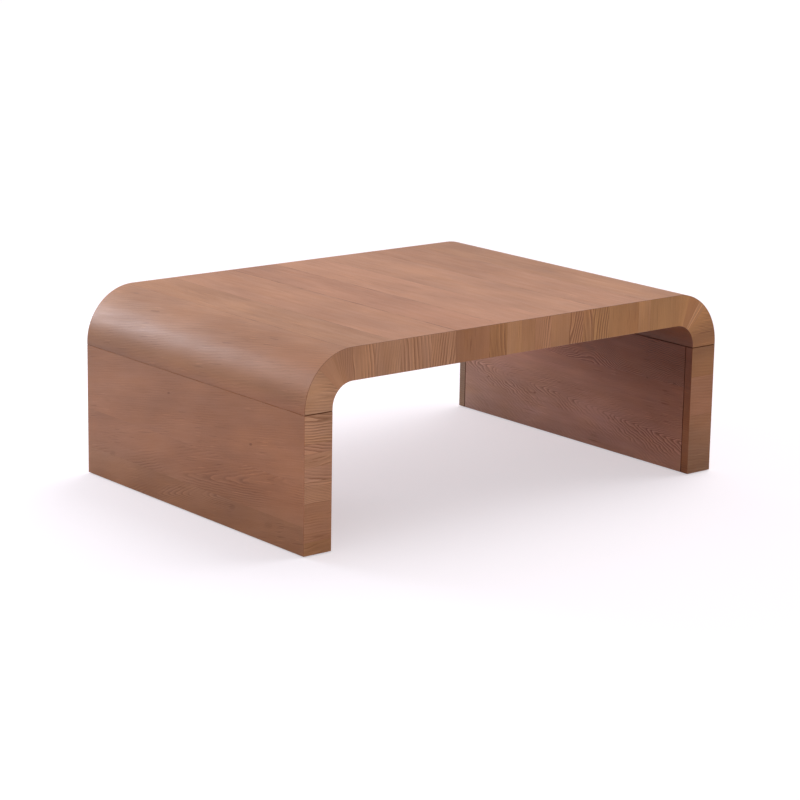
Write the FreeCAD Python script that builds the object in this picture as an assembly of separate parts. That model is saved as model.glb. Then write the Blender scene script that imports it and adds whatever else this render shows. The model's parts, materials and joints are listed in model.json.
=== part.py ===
import FreeCAD, Part
import math
import os

# Coffee table with an arched hollow top that runs down in a bend at each end and is bolted to two
# hollow panel legs. All sizes are in millimetres. The origin is on the floor under the middle of the
# table: X runs along its length, Y from front to back and Z up. A depth-in is measured from the outer
# face of the arch or of a leg towards the space under the table.

# Whole table
length = 1100.0
depth = 760.0
height = 400.0
board = 67.0                  # thickness of the top and of each leg
bend_radius = 115.0           # outer face of the bends
run_below_bend = 5.0          # upright stretch of the top between a bend and its leg
edge_ease = 1.2               # flat taken off every outer edge

# Skins and lippings
veneer = 0.6
skin = 8.0
lipping = 20.0                # solid strip behind the front and back edges
panel_seam = 0.4              # open line between a leg's inner panel and its stiles

# Ribs inside the top
rib = 18.0
rib_count = 4
cross_rib_count = 3
lap_clearance = 0.2
end_rail_height = 45.0        # solid rail at each end of the arch, for the fasteners

# Frame inside each leg
top_rail_height = 40.0
bottom_rail_height = 30.0
stud = 18.0

# Leg bolts, one row in each leg
bolt_count = 3
bolt_inset = 120.0            # from the end of the rail to the outer bolts
bolt_radius = 4.0
bolt_past_insert = 3.4
head_radius = 6.5
head_height = 8.0
key_across_flats = 6.0
key_depth = 4.0
bolt_hole_play = 0.5
washer_radius = 8.0
washer_thickness = 1.6
washer_play = 0.2
insert_wall = 2.45
insert_length = 25.0
insert_lead_in = 0.8
drill_past_bolt = 3.6
push_fit = 0.05               # radial clearance of a push fit

# Dowels that line the top up with the legs
dowel_count = 2
dowel_radius = 5.0
dowel_half_length = 25.0
dowel_inset = 30.0            # from the end of the rail
dowel_bevel = 1.0
dowel_hole_spare = 1.0

# Glides under the legs and plugs in the holes for the key
glide_count = 4
glide_inset = 20.0            # from the end of the rail
glide_radius = 11.0
glide_head = 2.0              # holds the legs clear of the floor
glide_bevel = 0.5
glide_pin_radius = 1.5
glide_pin_length = 15.0
access_radius = 10.0
plug_wall = 1.5
plug_length = 10.0
plug_rim = 1.5
plug_rim_thickness = 1.0

# Worked out from the sizes above
half_length = length / 2
half_depth = depth / 2
bend_x = half_length - bend_radius
spring_height = height - bend_radius
joint_height = spring_height - run_below_bend
leg_bottom = glide_head
core_start = veneer + skin
core_end = board - veneer - skin
frame_half = half_depth - lipping          # the frame inside lies between the lippings
rail_middle = board / 2                    # depth-in of the row of fasteners
rib_middle_height = height - board / 2
end_rail_top = joint_height + end_rail_height
top_rail_bottom = joint_height - top_rail_height
bottom_rail_top = leg_bottom + bottom_rail_height
bolt_seat = top_rail_bottom - washer_thickness
bolt_tip = joint_height + insert_length + bolt_past_insert
insert_bore = bolt_radius + push_fit
insert_radius = insert_bore + insert_wall

# Helpers of the modelling, not sizes of the table
overrun = board               # how far a cutting shape runs past what it cuts
same_place = edge_ease / 1000
diagonal_share = math.sqrt(0.5)
UP = FreeCAD.Vector(0, 0, 1)
SIDES = {"left": -1, "right": 1}
EDGES = {"front": -1, "back": 1}


def point(x, y, z):
    return FreeCAD.Vector(x, y, z)


def block(x_range, y_range, z_range):
    """Box between the two values of each range, given in either order."""
    low, high = zip(*(sorted(r) for r in (x_range, y_range, z_range)))
    sides = [b - a for a, b in zip(low, high)]
    return Part.makeBox(*sides, point(*low))


def rod(radius, x, y, z_range):
    """Upright cylinder."""
    low, high = sorted(z_range)
    return Part.makeCylinder(radius, high - low, point(x, y, low), UP)


def evenly(count, reach):
    """Places of count things spread over -reach to reach, the outer ones at its ends."""
    return [-reach + 2 * reach * i / (count - 1) for i in range(count)]


def between(count, reach):
    """Places of count things that part -reach to reach into equal bays."""
    return [-reach + 2 * reach * (i + 1) / (count + 1) for i in range(count)]


def one_solid(shape):
    """The only solid of a boolean's result, with its split faces joined."""
    if len(shape.Solids) != 1:
        raise ValueError("a piece came out as %d solids" % len(shape.Solids))
    return shape.Solids[0].removeSplitter()


bolt_rows = evenly(bolt_count, frame_half - bolt_inset)
dowel_rows = evenly(dowel_count, frame_half - dowel_inset)
glide_rows = evenly(glide_count, frame_half - glide_inset)
stud_rows = [(a + b) / 2 for a, b in zip(bolt_rows, bolt_rows[1:])]
rib_rows = between(rib_count, frame_half)
cross_rib_places = between(cross_rib_count, bend_x)


# The arch

def arch_line(depth_in):
    """Edges of the arch's outline at a depth-in, from the left joint over the top to the right one."""
    half = half_length - depth_in
    radius = bend_radius - depth_in
    crown = height - depth_in
    turn_x = bend_x + radius * diagonal_share
    turn_z = spring_height + radius * diagonal_share
    left_foot = point(-half, 0, joint_height)
    left_spring = point(-half, 0, spring_height)
    left_turn = point(-turn_x, 0, turn_z)
    left_crown = point(-bend_x, 0, crown)
    right_crown = point(bend_x, 0, crown)
    right_turn = point(turn_x, 0, turn_z)
    right_spring = point(half, 0, spring_height)
    right_foot = point(half, 0, joint_height)
    return [
        Part.makeLine(left_foot, left_spring),
        Part.Arc(left_spring, left_turn, left_crown).toShape(),
        Part.makeLine(left_crown, right_crown),
        Part.Arc(right_crown, right_turn, right_spring).toShape(),
        Part.makeLine(right_spring, right_foot),
    ]


def arch_layer(start, end, y_range):
    """Layer of the arch between two depths-in, as deep as y_range."""
    low, high = y_range
    outer = arch_line(start)
    inner = arch_line(end)
    left_end = Part.makeLine(inner[0].Vertexes[0].Point, outer[0].Vertexes[0].Point)
    right_end = Part.makeLine(outer[-1].Vertexes[-1].Point, inner[-1].Vertexes[-1].Point)
    wire = Part.Wire(Part.__sortEdges__(outer + [right_end] + inner + [left_end]))
    layer = Part.Face(wire).extrude(point(0, high - low, 0))
    layer.translate(point(0, low, 0))
    return layer


def eased_arch():
    """The whole arch as one block with its outer edges and its joint edges taken off."""
    whole = arch_layer(0, board, (-half_depth, half_depth))

    def is_outer(edge):
        at_side = all(abs(abs(v.Y) - half_depth) < same_place for v in edge.Vertexes)
        at_joint = all(abs(v.Z - joint_height) < same_place for v in edge.Vertexes)
        return at_side or at_joint

    return whole.makeChamfer(edge_ease, [e for e in whole.Edges if is_outer(e)])


def half_bend(side):
    """Block that holds the lower half of one bend, up to the mitre at 45 degrees."""
    reach = bend_radius + overrun
    corners = [
        point(side * bend_x, 0, spring_height),
        point(side * (bend_x + reach), 0, spring_height + reach),
        point(side * (bend_x + reach), 0, joint_height - overrun),
        point(side * bend_x, 0, joint_height - overrun),
    ]
    wire = Part.makePolygon(corners + corners[:1])
    wedge = Part.Face(wire).extrude(point(0, depth + 2 * overrun, 0))
    wedge.translate(point(0, -half_depth - overrun, 0))
    return wedge


def lipping_range(edge):
    """From the inner side of the front or back lipping to past the table's edge."""
    return sorted((edge * frame_half, edge * (half_depth + overrun)))


def top_shells(arch):
    """The veneers and skins that cover the arch."""
    full = (-half_depth, half_depth)
    inside = (-frame_half, frame_half)
    return {
        "top_face_veneer": arch.common(arch_layer(0, veneer, full)),
        "top_outer_skin": arch.common(arch_layer(veneer, core_start, inside)),
        "top_inner_skin": arch.common(arch_layer(core_end, board - veneer, inside)),
        "top_under_veneer": arch.common(arch_layer(board - veneer, board, full)),
    }


def top_lippings(arch):
    """Front and back lippings: a long one with mitred ends and two short ones in each bend."""
    pieces = {}
    for edge_name, edge in EDGES.items():
        whole = arch.common(arch_layer(veneer, board - veneer, lipping_range(edge)))
        rail = whole
        for side_name, side in SIDES.items():
            wedge = half_bend(side)
            pieces["top_%s_%s_bend_lipping" % (edge_name, side_name)] = whole.common(wedge)
            rail = rail.cut(wedge)
        pieces["top_%s_lipping" % edge_name] = rail
    return pieces


def long_ribs():
    """Ribs along the straight of the top, halved from above for the cross ribs."""
    pieces = {}
    z_range = (height - core_end, height - core_start)
    for number, y in enumerate(rib_rows, 1):
        y_range = (y - rib / 2, y + rib / 2)
        shape = block((-bend_x, bend_x), y_range, z_range)
        for x in cross_rib_places:
            half = rib / 2 + lap_clearance
            slot_range = (rib_middle_height - lap_clearance / 2, height)
            shape = shape.cut(block((x - half, x + half), (-half_depth, half_depth), slot_range))
        pieces["top_long_rib_%d" % number] = shape
    return pieces


def cross_ribs():
    """Ribs across the top between the lippings, halved from below for the long ribs."""
    pieces = {}
    z_range = (height - core_end, height - core_start)
    for number, x in enumerate(cross_rib_places, 1):
        shape = block((x - rib / 2, x + rib / 2), (-frame_half, frame_half), z_range)
        for y in rib_rows:
            half = rib / 2 + lap_clearance
            slot_range = (height - board, rib_middle_height + lap_clearance / 2)
            shape = shape.cut(block((x - rib, x + rib), (y - half, y + half), slot_range))
        pieces["top_cross_rib_%d" % number] = shape
    return pieces


def bend_formers():
    """Curved ribs that carry each long rib round the bends, down to the end rails."""
    pieces = {}
    for side_name, side in SIDES.items():
        room = block(
            (side * bend_x, side * (half_length + overrun)),
            (-half_depth, half_depth),
            (end_rail_top, height + overrun),
        )
        for number, y in enumerate(rib_rows, 1):
            layer = arch_layer(core_start, core_end, (y - rib / 2, y + rib / 2))
            pieces["top_%s_bend_former_%d" % (side_name, number)] = layer.common(room)
    return pieces


def end_rail(side):
    """Solid rail at one end of the arch, shaped to the skins, with holes for inserts and dowels."""
    room = block(
        (side * bend_x, side * (half_length + overrun)),
        (-half_depth, half_depth),
        (joint_height, end_rail_top),
    )
    shape = arch_layer(core_start, core_end, (-frame_half, frame_half)).common(room)
    x = side * (half_length - rail_middle)
    for y in bolt_rows:
        hole_end = bolt_tip + drill_past_bolt
        shape = shape.cut(rod(insert_radius + push_fit, x, y, (joint_height, hole_end)))
    for y in dowel_rows:
        hole_end = joint_height + dowel_half_length + dowel_hole_spare
        shape = shape.cut(rod(dowel_radius + push_fit, x, y, (joint_height, hole_end)))
    return shape


# The legs

def leg_block(side, depths, y_range, z_range):
    """Box in one leg between two depths-in from its outer face."""
    x_range = [side * (half_length - d) for d in depths]
    return block(x_range, y_range, z_range)


def eased_leg(side):
    """One leg as a single block with all its edges taken off."""
    whole = leg_block(side, (0, board), (-half_depth, half_depth), (leg_bottom, joint_height))
    return whole.makeChamfer(edge_ease, whole.Edges)


def leg_panels(side, name):
    """Veneer, outer and inner panels and the stiles that close a leg."""
    leg = eased_leg(side)
    z_range = (leg_bottom, joint_height)
    full = (-half_depth, half_depth)
    inside = (-frame_half, frame_half)
    panel = (-frame_half + panel_seam, frame_half - panel_seam)
    pieces = {
        name + "_face_veneer": leg.common(leg_block(side, (0, veneer), full, z_range)),
        name + "_outer_panel": leg.common(leg_block(side, (veneer, core_start), inside, z_range)),
        name + "_inner_panel": leg.common(leg_block(side, (core_end, board), panel, z_range)),
    }
    for edge_name, edge in EDGES.items():
        room = leg_block(side, (veneer, board), lipping_range(edge), z_range)
        pieces["%s_%s_stile" % (name, edge_name)] = leg.common(room)
    return pieces


def leg_frame(side, name):
    """Rails and studs inside a leg, with the holes that the fasteners need."""
    core = (core_start, core_end)
    inside = (-frame_half, frame_half)
    x = side * (half_length - rail_middle)
    top_rail = leg_block(side, core, inside, (top_rail_bottom, joint_height))
    bottom_rail = leg_block(side, core, inside, (leg_bottom, bottom_rail_top))
    for y in bolt_rows:
        bolt_hole = rod(bolt_radius + bolt_hole_play, x, y, (top_rail_bottom, joint_height))
        top_rail = top_rail.cut(bolt_hole)
        bottom_rail = bottom_rail.cut(rod(access_radius, x, y, (leg_bottom, bottom_rail_top)))
    for y in dowel_rows:
        hole_end = joint_height - dowel_half_length - dowel_hole_spare
        top_rail = top_rail.cut(rod(dowel_radius + push_fit, x, y, (hole_end, joint_height)))
    for y in glide_rows:
        hole_end = leg_bottom + glide_pin_length + push_fit
        bottom_rail = bottom_rail.cut(rod(glide_pin_radius + push_fit, x, y, (leg_bottom, hole_end)))
    pieces = {name + "_top_rail": top_rail, name + "_bottom_rail": bottom_rail}
    for number, y in enumerate(stud_rows, 1):
        y_range = (y - stud / 2, y + stud / 2)
        z_range = (bottom_rail_top, top_rail_bottom)
        pieces["%s_stud_%d" % (name, number)] = leg_block(side, core, y_range, z_range)
    return pieces


# Fasteners, glides and plugs, each made at one place of its row

def bolt(x, y):
    """Socket-head bolt, driven upwards from inside the leg."""
    head = rod(head_radius, x, y, (bolt_seat - head_height, bolt_seat))
    shank = rod(bolt_radius, x, y, (bolt_seat, bolt_tip))
    corner = key_across_flats / math.sqrt(3)
    low = bolt_seat - head_height
    corners = []
    for i in range(6):
        turn = math.pi * i / 3
        corners.append(point(x + corner * math.cos(turn), y + corner * math.sin(turn), low))
    socket = Part.Face(Part.makePolygon(corners + corners[:1])).extrude(UP * key_depth)
    return head.fuse(shank).cut(socket)


def washer(x, y):
    z_range = (bolt_seat, top_rail_bottom)
    hole = rod(bolt_radius + washer_play, x, y, z_range)
    return rod(washer_radius, x, y, z_range).cut(hole)


def threaded_insert(x, y):
    """Sleeve in the end rail that takes the bolt, with a lead-in at its mouth."""
    z_range = (joint_height, joint_height + insert_length)
    sleeve = rod(insert_radius, x, y, z_range).cut(rod(insert_bore, x, y, z_range))
    mouth = insert_bore + insert_lead_in
    cone = Part.makeCone(mouth, insert_bore, insert_lead_in, point(x, y, joint_height), UP)
    return sleeve.cut(cone)


def dowel(x, y):
    """Dowel half in the leg and half in the top, bevelled at both ends."""
    z_range = (joint_height - dowel_half_length, joint_height + dowel_half_length)
    pin = rod(dowel_radius, x, y, z_range)
    rims = [e for e in pin.Edges if len(e.Vertexes) == 1]
    return pin.makeChamfer(dowel_bevel, rims)


def glide(x, y):
    """Nail-on glide: a flat head on the floor and a pin in the rail."""
    body = rod(glide_radius, x, y, (glide_bevel, glide_head))
    foot = Part.makeCone(glide_radius - glide_bevel, glide_radius, glide_bevel, point(x, y, 0), UP)
    pin = rod(glide_pin_radius, x, y, (glide_head, glide_head + glide_pin_length))
    return body.fuse(foot).fuse(pin)


def plug(x, y):
    """Cap that closes the hole for the key: a hollow body with a thin rim below the leg."""
    radius = access_radius - push_fit
    rim = rod(access_radius + plug_rim, x, y, (leg_bottom - plug_rim_thickness, leg_bottom))
    body = rod(radius, x, y, (leg_bottom, leg_bottom + plug_length))
    hollow = rod(radius - plug_wall, x, y, (leg_bottom + plug_wall, leg_bottom + plug_length))
    return rim.fuse(body).cut(hollow)


def row(make, side, places):
    """The same piece at each place along Y of a row, kept together as separate solids."""
    x = side * (half_length - rail_middle)
    return Part.makeCompound([one_solid(make(x, y)) for y in places])


def leg_hardware(side, name):
    return {
        name + "_bolts": row(bolt, side, bolt_rows),
        name + "_washers": row(washer, side, bolt_rows),
        name + "_dowels": row(dowel, side, dowel_rows),
        name + "_glides": row(glide, side, glide_rows),
        name + "_hole_plugs": row(plug, side, bolt_rows),
    }


# The whole table

def build_table():
    arch = eased_arch()
    pieces = {}
    for group in (top_shells(arch), top_lippings(arch), long_ribs(), cross_ribs(), bend_formers()):
        pieces.update(group)
    groups = {}
    for side_name, side in SIDES.items():
        leg_name = side_name + "_leg"
        pieces["top_%s_end_rail" % side_name] = end_rail(side)
        pieces.update(leg_panels(side, leg_name))
        pieces.update(leg_frame(side, leg_name))
        groups["top_%s_threaded_inserts" % side_name] = row(threaded_insert, side, bolt_rows)
        groups.update(leg_hardware(side, leg_name))
    table = {name: one_solid(shape) for name, shape in pieces.items()}
    table.update(groups)
    return table


os.makedirs("parts", exist_ok=True)
for node, shape in build_table().items():
    if not shape.isValid():
        raise ValueError(node + " is not a valid shape")
    shape.exportStep("parts/%s.step" % node)
    print("%-32s solids %d  volume %.1f cm3" % (node, len(shape.Solids), shape.Volume / 1000))
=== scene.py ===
import json
import math

import bpy
import numpy as np
from mathutils import Matrix, Vector


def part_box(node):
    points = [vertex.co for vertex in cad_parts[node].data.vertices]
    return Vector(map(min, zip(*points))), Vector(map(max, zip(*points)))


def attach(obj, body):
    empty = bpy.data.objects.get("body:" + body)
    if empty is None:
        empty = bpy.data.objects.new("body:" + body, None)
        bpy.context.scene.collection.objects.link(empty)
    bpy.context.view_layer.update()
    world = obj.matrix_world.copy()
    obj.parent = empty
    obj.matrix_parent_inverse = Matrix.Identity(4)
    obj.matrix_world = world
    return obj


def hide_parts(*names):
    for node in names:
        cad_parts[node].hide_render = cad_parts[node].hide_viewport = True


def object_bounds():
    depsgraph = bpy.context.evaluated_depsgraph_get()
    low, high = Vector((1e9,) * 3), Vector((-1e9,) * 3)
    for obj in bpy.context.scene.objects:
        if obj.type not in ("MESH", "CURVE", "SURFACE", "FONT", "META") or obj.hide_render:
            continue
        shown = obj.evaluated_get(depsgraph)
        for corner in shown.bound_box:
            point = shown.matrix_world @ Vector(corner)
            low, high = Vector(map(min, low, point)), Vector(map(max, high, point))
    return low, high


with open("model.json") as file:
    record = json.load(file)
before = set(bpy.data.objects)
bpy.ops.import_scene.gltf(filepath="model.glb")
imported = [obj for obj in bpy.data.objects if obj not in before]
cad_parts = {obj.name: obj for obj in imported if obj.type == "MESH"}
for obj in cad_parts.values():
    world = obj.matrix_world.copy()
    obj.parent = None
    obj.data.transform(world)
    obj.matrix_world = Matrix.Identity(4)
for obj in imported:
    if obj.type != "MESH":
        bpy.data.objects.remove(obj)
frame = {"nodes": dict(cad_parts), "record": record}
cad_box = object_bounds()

# A waterfall coffee table in stained ash veneer. Lengths are in metres unless a name says otherwise.
# The visible boards are built in board space: s runs along the outer face from the left foot over the
# top to the right foot, y is the world's Y, and d is the depth below the outer face.

MM = 0.001

# Sizes read from the frame
high_corner = cad_box[1]
HALF_LENGTH = high_corner.x
HALF_DEPTH = high_corner.y
HEIGHT = high_corner.z
BEND_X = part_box("top_long_rib_1")[1].x
BEND_RADIUS = HALF_LENGTH - BEND_X
SPRING = HEIGHT - BEND_RADIUS
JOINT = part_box("left_leg_top_rail")[1].z
LEG_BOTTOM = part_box("left_leg_front_stile")[0].z
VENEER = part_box("left_leg_face_veneer")[1].x + HALF_LENGTH
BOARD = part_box("left_leg_inner_panel")[1].x + HALF_LENGTH
PANEL_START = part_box("left_leg_inner_panel")[0].x + HALF_LENGTH
FRAME_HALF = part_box("left_leg_outer_panel")[1].y
PANEL_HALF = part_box("left_leg_inner_panel")[1].y

# Stations of s along the outer face
BEND_LENGTH = BEND_RADIUS * math.pi / 2
LEFT_CROWN = SPRING + BEND_LENGTH
RIGHT_CROWN = LEFT_CROWN + 2 * BEND_X
RIGHT_SPRING = RIGHT_CROWN + BEND_LENGTH
RIGHT_JOINT = RIGHT_SPRING + SPRING - JOINT
RIGHT_FLOOR = RIGHT_SPRING + SPRING
LEFT_MITRE = SPRING + BEND_LENGTH / 2
RIGHT_MITRE = RIGHT_CROWN + BEND_LENGTH / 2

# Finish of the joinery
EASE = 0.7 * MM            # radius of the rounded outer edges
SEAM_EASE = 1.2 * MM       # the same beside the seams of the inner panels
JOINT_GAP = 0.15 * MM      # each side of a joint stands back by this
EASE_STEPS = (0.0, 0.3, 0.62, 1.0)
BEND_STEPS = 36
TINY = 1e-6                # lengths that differ by less are the same


# Board space

def station(s):
    """Point of the outer face at s, with the direction along the face and the direction inwards."""
    if s <= SPRING:
        return Vector((-HALF_LENGTH, 0, s)), Vector((0, 0, 1)), Vector((1, 0, 0))
    if s < LEFT_CROWN:
        turn = (s - SPRING) / BEND_RADIUS
        out = Vector((-math.cos(turn), 0, math.sin(turn)))
        return Vector((-BEND_X, 0, SPRING)) + out * BEND_RADIUS, Vector((out.z, 0, -out.x)), -out
    if s <= RIGHT_CROWN:
        return Vector((s - LEFT_CROWN - BEND_X, 0, HEIGHT)), Vector((1, 0, 0)), Vector((0, 0, -1))
    if s < RIGHT_SPRING:
        turn = (s - RIGHT_CROWN) / BEND_RADIUS
        out = Vector((math.sin(turn), 0, math.cos(turn)))
        return Vector((BEND_X, 0, SPRING)) + out * BEND_RADIUS, Vector((out.z, 0, -out.x)), -out
    return Vector((HALF_LENGTH, 0, RIGHT_FLOOR - s)), Vector((0, 0, -1)), Vector((-1, 0, 0))


def to_world(p):
    """World place of a point (s, y, d) in board space."""
    outer, _, inward = station(p[0])
    place = outer + inward * p[2]
    place.y = p[1]
    return place


def turn_to_world(p, direction):
    """World direction of a direction in board space at the point p."""
    _, along, inward = station(p[0])
    return along * direction[0] + Vector((0, direction[1], 0)) + inward * direction[2]


def ease(p, envelope, radius):
    """Moves a point of a box's surface onto the box with rounded edges. Returns the point and the
    outward direction there."""
    core = [min(max(v, lo + radius), hi - radius) for v, (lo, hi) in zip(p, envelope)]
    away = Vector(p) - Vector(core)
    if away.length < TINY:
        return Vector(p), None
    if away.length > radius:
        away = away * (radius / away.length)
    return Vector(core) + away, away.normalized()


def lines(span, envelope, radius, extra=()):
    """Grid lines along one axis of a piece: its ends, the lines of the rounding and any extra ones."""
    lo, hi = span
    found = {lo, hi}
    for step in EASE_STEPS:
        found.add(envelope[0] + radius * step)
        found.add(envelope[1] - radius * step)
    found.update(extra)
    inside = sorted(v for v in found if lo - TINY <= v <= hi + TINY)
    kept = [inside[0]]
    for value in inside[1:]:
        if value - kept[-1] > TINY:
            kept.append(value)
    return kept


def bend_lines(span):
    """Stations of s that divide the bends, within a span."""
    found = []
    for start in (SPRING, RIGHT_CROWN):
        for i in range(BEND_STEPS + 1):
            s = start + BEND_LENGTH * i / BEND_STEPS
            if span[0] < s < span[1]:
                found.append(s)
    return found


# Veneer leaves: each is a strip of one sheet of veneer between two seams

# How the growth rings run in a leaf: how far apart their tips lie along the grain, their spacing on
# either side of the tips, the slope of the line of the tips, how blunt the tips are, and how far from
# the tips the rings have faded. All but the slope are in mm.
UNFADED = 9000.0
CUTS = {
    "straight": (900.0, 5.0, 5.0, 0.01, 3.0, UNFADED),
    "fine": (400.0, 3.1, 3.1, 0.03, 2.0, UNFADED),
    "wide": (260.0, 6.4, 6.4, 0.10, 3.0, UNFADED),
    "bold": (500.0, 8.5, 8.5, -0.12, 3.0, UNFADED),
    "crown": (62.0, 6.2, 5.0, 0.03, 6.0, 90.0),
    "chevron": (20.0, 7.5, 3.1, 0.076, 3.0, 55.0),
    "feather": (24.0, 6.0, 3.4, 0.05, 4.0, 28.0),
    "arch": (150.0, 3.4, 3.2, 0.05, 25.0, UNFADED),
    "wavy": (120.0, 6.4, 5.4, 0.16, 4.0, UNFADED),
}
NARROWEST_SEAM = 0.01


def spread(values, share):
    """Value at a share of the way along a number or evenly spread numbers."""
    if isinstance(values, (int, float)):
        return values
    place = min(max(share, 0.0), 1.0) * (len(values) - 1)
    before = min(int(place), len(values) - 2)
    return values[before] + (values[before + 1] - values[before]) * (place - before)


class Leaf:
    """A leaf of veneer, from start_mm along s to the start of the next leaf. tone multiplies its colour,
    warmth takes it from cool to gold, figure is how strongly its rings show, cut is how they run, and
    heart is where their tips lie, as a share of its width. seam is how wide the dark line at its start
    is, drift is how much lighter it is at the back or at the inner side than in the middle, slant is how
    much its grain climbs, the red value is how red it is, and flush is how much redder it is at the front
    than in the middle. In some leaves tone, drift, the red value and flush carry painted light and shade:
    lighter where light falls, darker and redder where shade falls. tone, warmth, drift and the red value
    may be several numbers, spread evenly over its width."""

    def __init__(self, start_mm, tone, warmth, figure, cut, heart,
                 seam=0.3, drift=0.0, slant=0.0, dye_and_shade=0.0, flush=0.0):
        tips, near, far, lean, blunt, fade = CUTS[cut]
        self.start = start_mm * MM
        self.tone = tone
        self.warmth = warmth
        self.seam = seam
        self.drift = drift
        self.slant = slant
        self.dye_and_shade = dye_and_shade
        self.flush = flush
        self.rings = (1 / (tips * MM), 1 / (near * MM), 1 / (far * MM))
        self.figure = (figure, fade * MM, 0.0)
        self.tip_line = (heart, lean, blunt * MM)

    def fit(self, end, next_seam, seed):
        """Sets it in its sheet, where it runs to end and the next leaf has its own seam."""
        share, lean, blunt = self.tip_line
        self.end = end
        self.next_seam = next_seam
        self.seed = seed
        self.heart = (self.start + (end - self.start) * share, lean, blunt)

    def marks(self):
        """Stations where its look may change: its start and the places of its spread numbers."""
        found = {self.start}
        for values in (self.tone, self.warmth, self.drift, self.dye_and_shade):
            if not isinstance(values, (int, float)):
                steps = len(values) - 1
                found.update(self.start + (self.end - self.start) * i / steps for i in range(steps))
        return found

    def look(self, s, offset):
        """Tone, warmth and red value at s, where offset runs from -1 to 1 across the face; in some leaves
        they hold painted light and shade.
        """
        share = (s - self.start) / (self.end - self.start)
        tone = spread(self.tone, share) * (1 + spread(self.drift, share) * offset)
        return tone, spread(self.warmth, share), spread(self.dye_and_shade, share) - self.flush * offset

    def seam_gaps(self, s):
        """Distances to the seams at its start and end, larger where a seam is narrower."""
        to_start = (s - self.start) / max(self.seam, NARROWEST_SEAM)
        to_end = (self.end - s) / max(self.next_seam, NARROWEST_SEAM)
        return to_start, to_end


def veneer_sheet(leaves, seed):
    """The leaves fitted side by side, from the left foot to the right one."""
    for i, leaf in enumerate(leaves):
        last = i == len(leaves) - 1
        after = leaf if last else leaves[i + 1]
        leaf.fit(RIGHT_FLOOR if last else after.start, after.seam, seed + i)
    return leaves


def leaf_at(leaves, s):
    """The leaf that covers the station s."""
    return next((leaf for leaf in leaves if s < leaf.end), leaves[-1])


# Boards

FACES = ((0, 0), (0, 1), (1, 0), (1, 1), (2, 0), (2, 1))      # axis, and 0 or 1 for its low or high end
DEPTH_STEPS = 6
SEED_STEP = 1.37           # how far apart the leaves' patterns are taken
FACE_STAIN = 0.7 * MM      # width of the dark stain on each side of a joint, on the outer faces
DEEP_STAIN = 1.4 * MM      # and elsewhere
# how much the rounded outer edges are lightened, as wear and as a painted highlight
EDGE_WEAR_AND_SHEEN = 2.0
LEFT_BEND = 1
RIGHT_BEND = 2


def add_object(name, data):
    made = bpy.data.objects.new(name, data)
    bpy.context.scene.collection.objects.link(made)
    return made


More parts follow.
